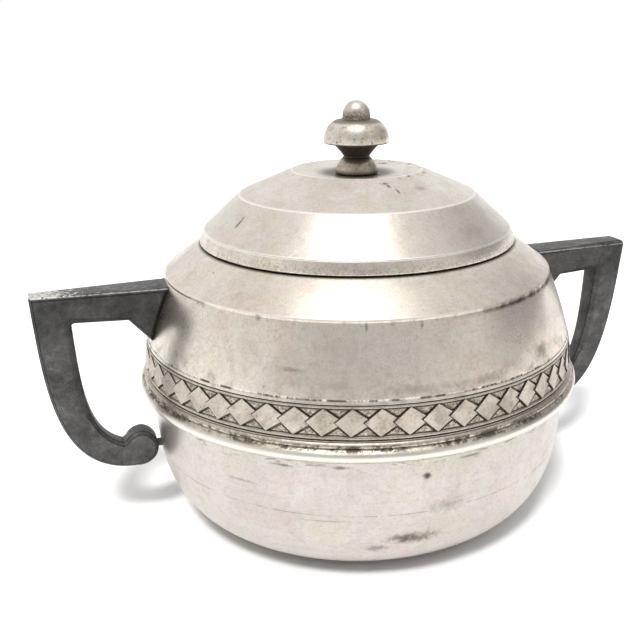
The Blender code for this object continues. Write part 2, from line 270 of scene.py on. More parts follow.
class Finish(Nodes):
    """A metal whose pattern lies in millimetres of the object's own space."""

    def __init__(self, name):
        self.material = bpy.data.materials.new(name)
        self.material.use_nodes = True
        super().__init__(self.material.node_tree)
        self.shader = self.tree.nodes["Principled BSDF"]
        place = self.add("ShaderNodeTexCoord", output=3)
        self.place = self.scaled(place, (1 / MM, 1 / MM, 1 / MM))
        self.x, self.y, self.z = self.split(self.place)
        self.r = (self.x * self.x + self.y * self.y).math("SQRT")

    def set(self, **sockets):
        for name, value in sockets.items():
            self.feed(self.shader.inputs[name.replace("_", " ")], value)

    def bump(self, height, depth_mm):
        return self.add("ShaderNodeBump", {}, {"Strength": 1.0, "Distance": depth_mm * MM, "Height": height})

    def scratches(self, turn, scale, width, cover):
        """Thin lines that run roughly one way, in patches."""
        spun = self.add(
            "ShaderNodeVectorRotate", {"rotation_type": "EULER_XYZ"}, {"Vector": self.place, "Rotation": turn}
        )
        along = self.scaled(spun, (0.035, 1.0, 1.0))
        field = self.noise(along, scale, 1.0, 0.4, 0.15)
        patch = self.noise(self.place, 0.09, 2.0).ramped(1.0 - cover, 1.12 - cover)
        return field.near(0.5, 0.0, width) * patch

    def specks(self, scale, size, share):
        """Small round pits, in a share of the cells of a grid."""
        settings = {"feature": "F1", "distance": "EUCLIDEAN"}
        node = self.add("ShaderNodeTexVoronoi", settings, {"Vector": self.place, "Scale": scale})
        chance = self.split(Value(self, node.socket.node.outputs["Color"]))[0]
        spread = chance.ramped(1.0 - share, 1.0) * size
        return (spread - node).ramped(0.0, size * 0.35)

    def mark(self, azimuth, height, half_width, half_height, strength=0.6):
        """A ragged stain at one place on a turned surface, half_width round and half_height up."""
        angle = math.radians(azimuth)
        across = (self.x * math.cos(angle) + self.y * math.sin(angle)) / half_width
        up = (self.z - height) / half_height
        facing = (self.x * math.sin(angle) - self.y * math.cos(angle)).ramped(0.0, 2.0)
        far = (across * across + up * up).math("SQRT")
        coarse = (self.noise(self.place, 0.5, 4.0, 0.65, 0.6) - 0.5) * 2.4
        fine = (self.noise(self.place, 2.4, 3.0, 0.7) - 0.5) * 0.8
        return (far + coarse + fine).ramped(1.5, 0.0) * facing * strength


def silver_finish(name, clear, shade, marks=(), grooves=None, rough=0.26, age=1.0, worn=None):
    """Old silver with dull patches, lathe lines, scratches and pits.

    Each mark is a stain: azimuth, height, half width, half height, strength. Grooves gives the dark
    deposit, which in some pieces also paints shade and a reflection, and worn gives the edges that
    are rubbed bright, which also paints highlight lines.
    """
    looks = bpy.context.scene.sugar_bowl_finishes
    made = Finish(name)
    blotch = made.noise(made.place, 0.05, 4.0, 0.6, 0.5)
    mottle = made.noise(made.place, 0.24, 5.0, 0.65, 0.4)
    grain = made.noise(made.place, 1.6, 4.0, 0.7)
    lathe_place = made.joined(made.x * 0.03, made.y * 0.03, (made.z - made.r) * 1.7)
    lathe = made.noise(lathe_place, 1.0, 2.0, 0.7)
    dull = (blotch.ramped(0.36, 0.66) * 0.55 + mottle.ramped(0.40, 0.70) * 0.5 * age).clamped()
    base = made.mixed(clear, shade, dull)
    tone = made.noise(made.place, 0.075, 3.0, 0.6, 0.3)
    for tint, share in (
        ((1.0, 0.945, 0.94), tone.ramped(0.50, 0.66)),
        ((0.97, 0.975, 0.915), tone.ramped(0.50, 0.34)),
    ):
        base = made.mixed(base, made.mixed((1.0, 1.0, 1.0), tint, share), 1.0, "MULTIPLY")
    speckle = made.noise(made.place, 0.62, 5.0, 0.75, 0.3)
    grey = (1.0 - grain.ramped(0.44, 0.72) * 0.17 * age) * (1.0 - lathe.ramped(0.52, 0.8) * 0.07)
    grey = grey * (1.0 - speckle.ramped(0.46, 0.70) * 0.13 * age)
    base = made.mixed(base, made.joined(grey, grey, grey), 1.0, "MULTIPLY")
    lines = made.scratches((0.3, 0.5, 0.2), 1.1, 0.012, 0.50)
    lines = lines + made.scratches((1.1, -0.4, 1.9), 0.9, 0.010, 0.46)
    pits = made.specks(0.16, 0.085, 0.30).most(made.specks(0.42, 0.10, 0.14))
    dirt = made.noise(made.place, 0.55, 4.0, 0.75, 0.6).ramped(0.62, 0.74) * blotch.ramped(0.44, 0.58)
    soiled = (lines * 0.42 * age + pits * 0.80 * age + dirt * 0.50 * age).clamped()
    base = made.mixed(base, looks.stain, soiled)
    rough_value = rough + dull * 0.08 + (grain - 0.5) * 0.14 + (lathe - 0.5) * 0.05
    height = (lathe - 0.5) * 0.35 + (grain - 0.5) * 0.45 - lines * 0.2 - pits * 1.2
    if worn:
        # Edges rubbed bright, partly painted highlight lines
        edge = (worn(made) * (0.55 + mottle * 0.6)).clamped()
        base = made.mixed(base, looks.worn_edge_and_highlight, edge)
        rough_value = rough_value + edge * 0.12
    # The dark layer: patina and stains, and in some pieces painted shade and a painted reflection
    patina_and_painted_shade = grooves(made, mottle, grain).clamped() if grooves else None
    for place in marks:
        stain = made.mark(*place)
        patina_and_painted_shade = stain if patina_and_painted_shade is None else patina_and_painted_shade.most(stain)
    if patina_and_painted_shade is not None:
        halo = (patina_and_painted_shade * 1.7).clamped()
        base = made.mixed(base, looks.stain, halo * 0.55)
        base = made.mixed(base, looks.tarnish, patina_and_painted_shade)
        rough_value = rough_value + patina_and_painted_shade * 0.22
        height = height - patina_and_painted_shade * 0.3
    waves = made.noise(made.place, 0.06, 2.0, 0.4)
    slow = {"Strength": 1.0, "Distance": 0.45 * MM, "Height": waves, "Normal": made.bump(height, 0.03)}
    normal = made.add("ShaderNodeBump", {}, slow)
    made.set(Base_Color=base, Roughness=rough_value.clamped(), Metallic=1.0, Normal=normal)
    return made.material


def lower_grooves(made, mottle, grain):
    """Grey deposit close under the bead, a faint turned line, thin level smears, and painted shade on the
    underside near the table.
    """
    drag = made.noise(made.scaled(made.place, (1.0, 1.0, 4.5)), 0.22, 4.0, 0.7, 0.3)
    under = made.z.ramped(34.5, 38.5) * drag.ramped(0.53, 0.66) * 0.45
    line = made.z.near(23.6, 0.05, 0.18) * mottle.ramped(0.36, 0.60) * 0.28
    smears = drag.ramped(0.60, 0.72) * mottle.ramped(0.42, 0.62) * 0.25
    # Below 4.2 mm the bowl is painted darker: painted shade where it nears the table
    return under.most(line).most(smears).most(made.z.ramped(4.2, 1.6) * 0.8)


def upper_grooves(made, mottle, grain):
    """Dark dashes above the band, a brown line under the shoulder's crease, and dirt at the lid's seat."""
    rag = made.noise(made.scaled(made.place, (1.0, 1.0, 0.35)), 0.28, 4.0, 0.7)
    dashes = made.z.near(54.25, 0.10, 0.30) * rag.ramped(0.46, 0.58) * 0.90
    side = made.x.ramped(4.0, 26.0) * (-made.y).ramped(0.0, 20.0)
    under_crease = rag.ramped(0.30, 0.56) * side * 1.25 + rag.ramped(0.52, 0.70) * 0.6
    crease = made.z.near(70.9, 0.20, 0.85) * under_crease * 0.66
    cloud = made.z.near(54.8, 0.6, 5.0) * mottle.ramped(0.46, 0.72) * 0.26
    seat = made.z.ramped(78.3, 78.9) * made.r.ramped(45.0, 44.0) * (0.45 + grain * 0.5)
    foot = made.z.ramped(53.5, 53.2) * rag.ramped(0.38, 0.60) * 0.5
    return dashes.most(crease).most(cloud).most(seat).most(foot)


def upper_worn_and_highlight(made):
    """Bright lines along the shoulder's crease and the wall's foot: partly rubbed metal, partly painted
    highlight.
    """
    return (made.z.near(71.55, 0.10, 0.25) * 0.8).most(made.z.near(53.75, 0.05, 0.15) * 0.5)


def bead_grooves(made, mottle, grain):
    """Deposit that has lodged between the two ridges."""
    long_patch = made.noise(made.scaled(made.place, (1.0, 1.0, 0.4)), 0.13, 3.0, 0.6)
    ragged = made.noise(made.scaled(made.place, (1.0, 1.0, 1.6)), 0.75, 4.0, 0.75, 0.6)
    patch = (long_patch * 0.50 + ragged * 0.50).ramped(0.45, 0.55)
    valley = made.z.near(43.0, 0.50, 0.70) * patch * 0.88
    line = made.z.near(42.78, 0.03, 0.16) * 0.45
    upper = made.z.near(44.38, 0.04, 0.14) * (0.35 + ragged * 0.5)
    lower = made.z.near(39.25, 0.05, 0.30) * 0.45
    film = made.z.ramped(42.2, 43.0) * ragged.ramped(0.36, 0.66) * 0.32
    return valley.most(line).most(upper).most(lower).most(film)


def bead_worn_and_highlight(made):
    """The wide ridge, partly rubbed bright and partly a painted highlight."""
    return made.z.near(41.0, 0.4, 0.7) * 0.7


def ground_grooves(made, mottle, grain):
    """Deposit on the ground of the band, rubbed off its fillets and partly off its small triangles."""
    along = (made.z - 49.0) * 0.0875
    depth = 60.42 - along - made.r
    speck = made.noise(made.place, 1.5, 4.0, 0.8, 0.5)
    deep = depth.ramped(0.08, 0.34) * (0.34 + speck.ramped(0.40, 0.58) * 0.46)
    triangles = made.z.near(49.0, 2.9, 0.2) * speck.ramped(0.44, 0.58) * 0.62
    top_line = made.z.near(52.2, 0.08, 0.16) * 0.55
    bottom_line = made.z.near(45.95, 0.08, 0.16) * 0.55
    fillets = speck.ramped(0.56, 0.66) * 0.6
    return deep.most(triangles).most(top_line).most(bottom_line).most(fillets)


def skirt_grooves(made, mottle, grain):
    """Deposit all round each diamond."""
    return 0.92 - grain.ramped(0.50, 0.72) * 0.40


def tile_grooves(made, mottle, grain):
    """Rubbed diamonds with a few dark specks."""
    speck = made.noise(made.place, 1.1, 4.0, 0.75, 0.4)
    return speck.ramped(0.60, 0.70) * 0.5 + mottle.ramped(0.4, 0.7) * 0.10


def lid_grooves(made, mottle, grain):
    """A painted reflection of the dark spool round its foot, and dirt a little beside the crown's edge."""
    rag = made.noise(made.place, 0.5, 4.0, 0.75)
    edge = made.z.near(97.6, 0.1, 0.45) * made.x.ramped(0.0, 9.0) * rag.ramped(0.52, 0.64) * 0.7
    # Painted reflection: a dark ring in the dish round the spool's foot
    well = made.r.ramped(12.5, 6.8) * made.z.near(96.8, 1.0, 0.6) * (0.55 + grain * 0.45)
    return edge.most(well)


def lid_worn_and_highlight(made):
    """Bright creases, partly rubbed and partly painted highlight: between the two cones, at the crown's edge and
    above the rim.
    """
    facet = made.z.near(91.7, 0.05, 0.22)
    crown = made.r.near(18.0, 0.10, 0.35) * made.z.near(98.0, 0.2, 0.2)
    return facet.most(crown * 0.9).most(made.z.near(82.55, 0.12, 0.25))


def stem_grooves(made, mottle, grain):
    """Tarnish that hides most of the spool, thinner on the swelling of its foot."""
    cone = made.z.ramped(99.9, 101.2) * (0.90 + (grain - 0.5) * 0.4)
    foot = made.z.ramped(98.6, 97.0) * 0.70
    film = 0.10 + grain.ramped(0.4, 0.65) * 0.28
    return cone.most(foot).most(film)


def knob_grooves(made, mottle, grain):
    """Tarnish and painted shade on the ball's lower half, tarnish in the crease under it, spots on the cap, and
    a darker underside to the cap.
    """
    # Lower half of the ball: tarnish, and painted shade
    lower_half = made.z.ramped(114.6, 112.0) * made.z.ramped(110.9, 111.3)
    ball = lower_half * (0.44 + grain.ramped(0.38, 0.62) * 0.42)
    neck = made.z.near(111.15, 0.25, 0.8) * 0.55
    low = made.noise(made.place, 1.1, 4.0, 0.7).ramped(0.56, 0.68) * made.z.near(106.2, 0.6, 1.2) * 0.85
    high = made.noise(made.place, 0.8, 4.0, 0.75, 0.6).ramped(0.54, 0.66) * made.z.near(109.6, 0.8, 1.4) * 0.6
    under = made.z.ramped(105.4, 105.1) * 0.8
    film = mottle.ramped(0.35, 0.65) * 0.10
    return ball.most(neck).most(low).most(high).most(under).most(film)


def rim_grooves(made, mottle, grain):
    """A dark seam under the lid's rim, and a film of dirt with dark specks on its lower half."""
    speck = made.noise(made.place, 1.3, 4.0, 0.8, 0.4)
    film = made.z.ramped(81.8, 80.0) * speck.ramped(0.45, 0.70) * 0.40
    return (made.z.ramped(79.5, 79.25) * 0.9).most(film)


def rim_worn_and_highlight(made):
    """The rim's upper edge, partly rubbed and partly a painted highlight."""
    return made.z.ramped(82.15, 82.4)


def cast_finish(name, shade=1.0):
    """Dark cast metal, rubbed on its edges and upper faces, with painted light on its top face and a painted
    highlight line along its top edge.
    """
    looks = bpy.context.scene.sugar_bowl_finishes
    sizes = bpy.context.scene.sugar_bowl_handles
    made = Finish(name)
    cloud = made.noise(made.place, 0.13, 3.0, 0.6, 0.4)
    mottle = made.noise(made.place, 0.5, 4.0, 0.7)
    grain = made.noise(made.place, 2.6, 4.0, 0.75)
    fine = made.noise(made.place, 6.0, 2.0, 0.6)
    top_z = sizes.top / MM
    top = made.z.ramped(top_z - 0.5, top_z - 0.12)
    flake = made.noise(made.place, 0.9, 5.0, 0.75, 0.5)
    outer = abs(made.x).ramped(sizes.outer / MM - 17.0, sizes.outer / MM - 3.0)
    corner = top * (flake + outer * 0.22).ramped(0.62, 0.70) * made.x.ramped(0.0, -1.0)
    # The top face painted lighter, as light from above, and partly rubbed
    worn_and_painted_lit_top = top * (0.22 + mottle.ramped(0.4, 0.7) * 0.45)
    # A bright line along the top edge: painted highlight, with rubbed flakes
    edge = made.z.near(top_z - 0.25, 0.03, 0.2) * flake.ramped(0.36, 0.52) * 0.75
    rubbed = mottle.ramped(0.52, 0.76) * cloud.ramped(0.42, 0.62) * 0.22
    hair = made.scratches((0.2, 0.9, 0.4), 1.4, 0.010, 0.44) * 0.35
    # Wear and painted light together, laid on in the worn colour
    rub = (worn_and_painted_lit_top + edge + rubbed + hair).clamped()
    base = made.mixed(looks.iron, looks.iron_worn_and_painted_light, rub)
    patchy = cloud.ramped(0.34, 0.66) * 0.42 + mottle.ramped(0.34, 0.66) * 0.34
    # Darker along the bar and lighter down the leg; shade darkens the whole copy
    grey = (0.52 + patchy + (grain - 0.5) * 1.5) * (0.72 + made.z.ramped(64.0, 52.0) * 0.38) * shade
    base = made.mixed(base, made.joined(grey, grey, grey), 1.0, "MULTIPLY")
    base = made.mixed(base, looks.iron_bare, corner.most(edge * 0.6))
    rough = 0.50 - corner * 0.14 + (mottle - 0.5) * 0.18 + (grain - 0.5) * 0.16
    height = (grain - 0.5) * 0.9 + (fine - 0.5) * 0.5 + (mottle - 0.5) * 0.9
    made.set(Base_Color=base, Roughness=rough.clamped(), Metallic=0.7, Normal=made.bump(height, 0.10))
    return made.material


def steel_finish(name):
    """Plain turned steel with a brushed grain and a little staining."""
    looks = bpy.context.scene.sugar_bowl_finishes
    made = Finish(name)
    grain = made.noise(made.place, 3.0, 3.0, 0.6)
    cloud = made.noise(made.place, 0.6, 3.0, 0.5).ramped(0.5, 0.7)
    base = made.mixed(looks.steel, looks.stain, cloud * 0.5)
    made.set(Base_Color=base, Roughness=0.34 + grain * 0.14, Metallic=1.0, Normal=made.bump(grain, 0.02))
    return made.material


# Modelling


def start_line(points):
    """A new mesh as a line through points, left in edit mode with all of it selected."""
    bpy.ops.object.select_all(action="DESELECT")
    bpy.ops.mesh.primitive_plane_add(size=MM, enter_editmode=True, location=(0, 0, 0))
    bpy.ops.mesh.select_mode(type="VERT")
    bpy.ops.mesh.select_all(action="SELECT")
    bpy.ops.mesh.merge(type="CENTER")
    bpy.ops.transform.translate(value=points[0])
    for here, there in zip(points, points[1:]):
        step = Vector(there) - Vector(here)
        bpy.ops.mesh.extrude_vertices_move(TRANSFORM_OT_translate={"value": step})
    bpy.ops.mesh.select_all(action="SELECT")
    bpy.ops.mesh.remove_doubles(threshold=WELD)


def edit_all():
    bpy.ops.object.mode_set(mode="EDIT")
    bpy.ops.mesh.select_all(action="SELECT")


def eased(corners, closed):
    """Profile points with each corner that has a third number rounded over that length."""
    found = []
    for i, corner in enumerate(corners):
        here = Vector(corner[:2])
        if len(corner) < 3 or (not closed and i in (0, len(corners) - 1)):
            found.append(here)
            continue
        before = Vector(corners[i - 1][:2]) - here
        after = Vector(corners[(i + 1) % len(corners)][:2]) - here
        reach = min(corner[2], before.length * 0.45, after.length * 0.45)
        start, end = here + before.normalized() * reach, here + after.normalized() * reach
        if before.length > 4 * reach:
            found.append(here + before.normalized() * reach * 1.7)
        for step in range(EASE_STEPS + 1):
            t = step / EASE_STEPS
            found.append(start * (1 - t) ** 2 + here * 2 * t * (1 - t) + end * t**2)
        if after.length > 4 * reach:
            found.append(here + after.normalized() * reach * 1.7)
    return found


def turn(corners, closed=True, steps=None):
    """Spins a profile of (radius, height) in millimetres round Z, and returns it in object mode."""
    steps = steps or bpy.context.scene.sugar_bowl_sizes.steps
    profile = eased(corners, closed)
    if closed:
        profile.append(profile[0])
    start_line([(r * MM, 0, z * MM) for r, z in profile])
    bpy.ops.mesh.spin(steps=steps, angle=math.tau, center=(0, 0, 0), axis=(0, 0, 1), use_auto_merge=True)
    bpy.ops.mesh.select_all(action="SELECT")
    bpy.ops.mesh.remove_doubles(threshold=WELD)
    bpy.ops.mesh.normals_make_consistent(inside=False)
    bpy.ops.object.mode_set(mode="OBJECT")
    return bpy.context.object


def settle(obj, name, body, materials, slot, *nodes, smooth=30.0):
    """Names a finished piece, gives it its metal, and ties it to the frame."""
    if not obj.data.polygons:
        raise RuntimeError(f"{name} has no faces")
    obj.name = obj.data.name = name
    bpy.ops.object.select_all(action="DESELECT")
    obj.select_set(True)
    bpy.context.view_layer.objects.active = obj
    bpy.ops.object.shade_smooth_by_angle(angle=math.radians(smooth))
    if not obj.data.materials:
        for material in materials:
            obj.data.materials.append(material)
    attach(obj, body)
    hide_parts(*nodes)


def join(into, *others):
    bpy.ops.object.select_all(action="DESELECT")
    for obj in (*others, into):
        obj.select_set(True)
    bpy.context.view_layer.objects.active = into
    bpy.ops.object.join()


def apply_modifier(obj, name, kind, **settings):
    modifier = obj.modifiers.new(name, kind)
    for key, value in settings.items():
        setattr(modifier, key, value)
    bpy.context.view_layer.objects.active = obj
    bpy.ops.object.modifier_apply(modifier=name)


def pick(obj, kind, test):
    """In edit mode, selects only the elements of a kind that pass the test."""
    bpy.ops.mesh.select_all(action="DESELECT")
    bpy.ops.mesh.select_mode(type=kind)
    work = bmesh.from_edit_mesh(obj.data)
    work.normal_update()
    found = {"VERT": work.verts, "EDGE": work.edges, "FACE": work.faces}[kind]
    count = 0
    for element in found:
        if test(element):
            element.select_set(True)
            count += 1
    work.select_flush_mode()
    bmesh.update_edit_mesh(obj.data)
    return count


def bezier(start, start_pull, end_pull, end, count):
    """Points along a cubic curve, without its first."""
    found = []
    for i in range(1, count + 1):
        t = i / count
        weights = ((1 - t) ** 3, 3 * t * (1 - t) ** 2, 3 * t * t * (1 - t), t**3)
        axes = zip(start, start_pull, end_pull, end)
        found.append(tuple(sum(w * c for w, c in zip(weights, axis)) for axis in axes))
    return found


def wall_radius(z):
    """Outside of the upper wall in millimetres, a slightly bulging cone."""
    sizes = bpy.context.scene.sugar_bowl_sizes
    high, low = sizes.shoulder_height / MM, sizes.band_top / MM
    top, bottom = sizes.shoulder_radius / MM, sizes.band_top_radius / MM
    t = (high - z) / (high - low)
    return top + (bottom - top) * t + 4 * 0.45 * t * (1 - t)


def belly(count, inset=0.0):
    """(radius, height) points of the lower bowl's round, from its flat base upward."""
    sizes = bpy.context.scene.sugar_bowl_sizes
    base, base_z = sizes.base_radius / MM, sizes.base_height / MM + inset
    rise = sizes.belly_top / MM - base_z
    found = []
    for i in range(count + 1):
        t = (i / count) ** 2
        round_out = (1 - (1 - t) ** 3.3) ** (1 / 2.3)
        found.append((base + (sizes.belly_radius / MM - inset - base) * round_out, base_z + rise * t))
    return found


class PieceOperator:
    """Shared settings of the piece builders."""

    bl_options = {"REGISTER", "UNDO"}


class SUGARBOWL_OT_lower_bowl(PieceOperator, bpy.types.Operator):
    """Spins the round lower half of the bowl"""

    bl_idname = "sugar_bowl.lower_bowl"
    bl_label = "Lower bowl"

    FLAT_RADIUS = 28.0
    TOP = 41.1
    STAINS = (
        (-5.5, 15.8, 5.6, 1.7, 0.72), (2.5, 24.5, 4.2, 2.0, 0.30), (-3.0, 33.6, 0.9, 0.9, 0.9),
        (-15.0, 13.0, 2.6, 1.2, 0.42), (-23.0, 37.0, 2.4, 0.4, 0.5), (-37.0, 36.5, 3.4, 0.35, 0.5),
        (8.0, 36.8, 3.0, 0.3, 0.45), (-48.0, 30.0, 4.0, 0.4, 0.3), (-27.0, 22.0, 6.0, 0.25, 0.25),
    )

    def execute(self, context):
        sizes, looks = context.scene.sugar_bowl_sizes, context.scene.sugar_bowl_finishes
        wall, outer = sizes.wall / MM, sizes.belly_radius / MM
        low, flat, top = sizes.base_height / MM, self.FLAT_RADIUS, self.TOP
        outside = [(0, low), (flat, low), *belly(40), (outer, top, 0.2)]
        inside = [(outer - wall, top, 0.2), *reversed(belly(32, wall)), (flat, low + wall), (0, low + wall)]
        obj = turn(outside + inside, closed=False)
        metal = silver_finish(
            "bright_silver", looks.bright, looks.bright_shade, self.STAINS, lower_grooves, rough=0.33, age=0.8
        )
        settle(obj, "bowl_lower", "bowl", [metal], BRIGHT_SLOT, "lower_bowl")
        return {"FINISHED"}


class SUGARBOWL_OT_upper_shell(PieceOperator, bpy.types.Operator):
    """Spins the wall, shoulder and mouth of the bowl"""

    bl_idname = "sugar_bowl.upper_shell"
    bl_label = "Upper shell"

    HIDDEN_RADIUS = 59.3
    HIDDEN_END = 41.4
    STAINS = (
        (-16.9, 69.9, 0.35, 1.0, 0.5), (-3.2, 69.9, 0.4, 0.9, 0.5), (12.0, 56.0, 6.0, 1.0, 0.3),
        (33.0, 57.5, 3.4, 2.2, 0.45), (-6.5, 56.2, 7.0, 1.2, 0.3), (-34.0, 60.5, 3.0, 0.5, 0.3),
    )

    def execute(self, context):
        sizes, looks = context.scene.sugar_bowl_sizes, context.scene.sugar_bowl_finishes
        wall = sizes.wall / MM
        high, low = sizes.shoulder_height / MM, sizes.band_top / MM
        crease, seat_z = sizes.shoulder_radius / MM, sizes.seat_height / MM
        outside = [(sizes.mouth_radius / MM, seat_z, 0.2), (sizes.seat_radius / MM, seat_z, 0.35)]
        outside += [(46.5, 77.15), (48.9, 75.35), (51.4, 73.45)]
        outside += [
            (crease + 0.12, high + 0.2, 0.22), (crease + 0.22, high - 0.3, 0.2),
            (crease + 0.12, high - 0.55, 0.1),
        ]
        outside += [(wall_radius(high - i * 1.6), high - i * 1.6) for i in range(1, 10)]
        outside += [
            (wall_radius(54.75), 54.75), (wall_radius(54.45), 54.45, 0.1),
            (wall_radius(54.2) - 0.14, 54.2, 0.1),
        ]
        outside += [(wall_radius(53.95), 53.95, 0.1), (sizes.band_top_radius / MM, low + 0.3, 0.15)]
        outside += [(self.HIDDEN_RADIUS, low + 0.3)]
        outside += [(self.HIDDEN_RADIUS, self.HIDDEN_END)]
        lining = self.HIDDEN_RADIUS - 0.1 - wall
        inside = [(lining, self.HIDDEN_END), (lining, low - 1.0, 0.4)]
        inside += [(wall_radius(z) - wall, z) for z in (55.0, 58.0, 61.0, 64.0, 67.0, 69.5)]
        inside += [(crease - wall, high - 0.3, 0.5), (48.4, 74.2), (43.5, seat_z - wall, 0.3)]
        inside += [(sizes.mouth_radius / MM, seat_z - wall, 0.2)]
        obj = turn(outside + inside)
        metal = silver_finish(
            "aged_silver", looks.silver, looks.silver_shade, self.STAINS, upper_grooves,
            rough=0.27, worn=upper_worn_and_highlight,
        )
        settle(obj, "bowl_upper", "bowl", [metal], SILVER_SLOT, "upper_shell")
        return {"FINISHED"}


class SUGARBOWL_OT_girdle_bead(PieceOperator, bpy.types.Operator):
    """Spins the ridge that covers the seam between the two halves"""

    bl_idname = "sugar_bowl.girdle_bead"
    bl_label = "Girdle bead"

    def execute(self, context):
        looks = context.scene.sugar_bowl_finishes
        ridge = [(59.5, 39.0, 0.1), (61.1, 39.05, 0.2), (61.9, 39.45), (62.4, 39.9), (62.7, 40.45), (62.8, 41.0)]
        ridge += [(62.7, 41.5), (62.35, 42.0), (61.9, 42.38), (61.55, 42.62), (61.42, 42.82), (61.52, 43.02)]
        ridge += [
            (61.72, 43.25), (61.74, 43.6), (61.55, 43.95), (61.3, 44.18), (61.02, 44.36),
            (61.12, 44.52),
        ]
        ridge += [(60.98, 44.72), (59.5, 44.72, 0.1)]
        obj = turn(ridge)
        metal = silver_finish(
            "bead_silver", looks.silver_shade, looks.silver_shade, grooves=bead_grooves,
            rough=0.26, worn=bead_worn_and_highlight,
        )
        settle(obj, "bowl_bead", "bowl", [metal], SILVER_SLOT, "girdle_bead")
        return {"FINISHED"}


class SUGARBOWL_OT_lattice_band(PieceOperator, bpy.types.Operator):
    """Makes the stamped band: a ground strip with overlapping diamonds and small triangles"""

    bl_idname = "sugar_bowl.lattice_band"
    bl_label = "Lattice band"

    MIDDLE_Z = 49.1
    STRIP_R = 60.02
    SLOPE = 0.0875
    TILE_LEAN = 0.052

    def plate(self, outline, base, skirt, rise, bevel):
        """A raised plate in the plane of X and Z, out towards -Y, on a narrow skirt."""
        start_line([(u * MM, 0, v * MM) for u, v in [*outline, outline[0]]])
        bpy.ops.mesh.edge_face_add()
        bpy.ops.mesh.extrude_region_move(TRANSFORM_OT_translate={"value": (0, -base * MM, 0)})
        if skirt:
            bpy.ops.mesh.inset(thickness=skirt * MM)
            bpy.ops.mesh.extrude_region_move(TRANSFORM_OT_translate={"value": (0, -rise * MM, 0)})
        obj = bpy.context.edit_object
        outermost = min(v.co.y for v in bmesh.from_edit_mesh(obj.data).verts)
        pick(obj, "EDGE", lambda e: all(v.co.y < outermost + 0.01 * MM for v in e.verts))
        bpy.ops.mesh.bevel(offset=bevel * MM, segments=1, affect="EDGES")
        bpy.ops.mesh.select_all(action="SELECT")
        bpy.ops.mesh.normals_make_consistent(inside=False)
        bpy.ops.object.mode_set(mode="OBJECT")
        return obj

    def execute(self, context):
        sizes, looks = context.scene.sugar_bowl_sizes, context.scene.sugar_bowl_finishes
        low, high = sizes.band_bottom / MM, sizes.band_top / MM
        # The band colours are painted darker: patina, and a painted dark reflection of what stands in front
        worn, dull = looks.band, looks.band_shade
        tile_metal = silver_finish("tile_silver", worn, dull, grooves=tile_grooves, rough=0.34, age=1.4)
        skirt_metal = silver_finish("skirt_silver", dull, dull, grooves=skirt_grooves, rough=0.40)
        ground_metal = silver_finish("band_silver", worn, dull, grooves=ground_grooves, rough=0.36, age=1.4)

        strip = [
            (59.5, low, 0.1), (60.92, low, 0.12), (60.98, low + 0.35), (60.85, low + 0.62),
            (60.45, low + 0.82),
        ]
        strip += [(60.22, low + 1.0), (59.72, high - 0.95), (59.86, high - 0.72), (60.2, high - 0.5)]
        strip += [(60.3, high - 0.2), (60.2, high + 0.1), (59.5, high + 0.12, 0.1)]
        ground = turn(strip)
        ground.data.materials.append(ground_metal)

        pitch = math.tau * self.STRIP_R / sizes.tiles
        tile = self.plate([(-0.34, 0.0), (3.98, 3.60), (9.1, 0.0), (3.58, -3.64)], 0.42, 0.21, 0.26, 0.06)
        face_out = min(v.co.y for v in tile.data.vertices)
        tile.data.materials.append(tile_metal)
        tile.data.materials.append(skirt_metal)
        for face in tile.data.polygons:
            face.material_index = 0 if face.center.y < face_out + 0.045 * MM else 1
        edit_all()
        bpy.ops.transform.rotate(
            value=-math.atan(self.TILE_LEAN), orient_axis="Z", center_override=(4.4 * MM, -0.42 * MM, 0)
        )
        bpy.ops.object.mode_set(mode="OBJECT")
        upper = self.plate([(5.0, 3.15), (9.9, 3.15), (7.75, 1.35)], 0.42, 0.0, 0.0, 0.10)
        lower = self.plate([(4.7, -3.15), (9.5, -3.15), (7.55, -1.4)], 0.42, 0.0, 0.0, 0.10)
        for wedge in (upper, lower):
            wedge.data.materials.append(ground_metal)
        join(tile, upper, lower)
        apply_modifier(
            tile, "round_the_band", "ARRAY", use_relative_offset=False, use_constant_offset=True,
            constant_offset_displace=(pitch * MM, 0, 0), count=sizes.tiles,
        )
        edit_all()
        bpy.ops.transform.rotate(value=math.atan(self.SLOPE), orient_axis="X", center_override=(0, 0, 0))
        bpy.ops.transform.translate(value=(sizes.first_tile * self.STRIP_R * MM, 0, 0))
        bpy.ops.object.mode_set(mode="OBJECT")
        across = [v.co.x for v in tile.data.vertices]
        apply_modifier(
            tile, "bend_round", "SIMPLE_DEFORM", deform_method="BEND", deform_axis="Z",
            angle=(max(across) - min(across)) / (self.STRIP_R * MM),
        )
        edit_all()
        bpy.ops.transform.translate(value=(0, -self.STRIP_R * MM, self.MIDDLE_Z * MM))
        bpy.ops.object.mode_set(mode="OBJECT")
        join(ground, tile)
        settle(ground, "bowl_band", "bowl", [ground_metal], BAND_SLOT, "lattice_band", smooth=20.0)
        return {"FINISHED"}


class SUGARBOWL_OT_mouth_and_foot(PieceOperator, bpy.types.Operator):
    """Makes the collar inside the mouth and the ring the bowl stands on"""

    bl_idname = "sugar_bowl.mouth_and_foot"
    bl_label = "Mouth collar and foot ring"

    def execute(self, context):
        sizes, looks = context.scene.sugar_bowl_sizes, context.scene.sugar_bowl_finishes
        mouth, seat_z = sizes.mouth_radius / MM, sizes.seat_height / MM
        metal = silver_finish("rim_silver", looks.silver, looks.silver_shade, rough=0.26)
        inner, outer, low = mouth - 1.1, mouth - 0.3, 73.0
        collar = turn([(inner, low, 0.15), (outer, low, 0.15), (outer, seat_z, 0.15), (inner, seat_z, 0.3)])
        settle(collar, "bowl_collar", "bowl", [metal], SILVER_SLOT, "mouth_collar")
        foot = turn([(31.5, 0, 0.2), (34.5, 0, 0.3), (34.5, 1.2, 0.1), (31.5, 1.2, 0.1)])
        settle(foot, "bowl_foot", "bowl", [metal], SILVER_SLOT, "foot_ring")
        return {"FINISHED"}


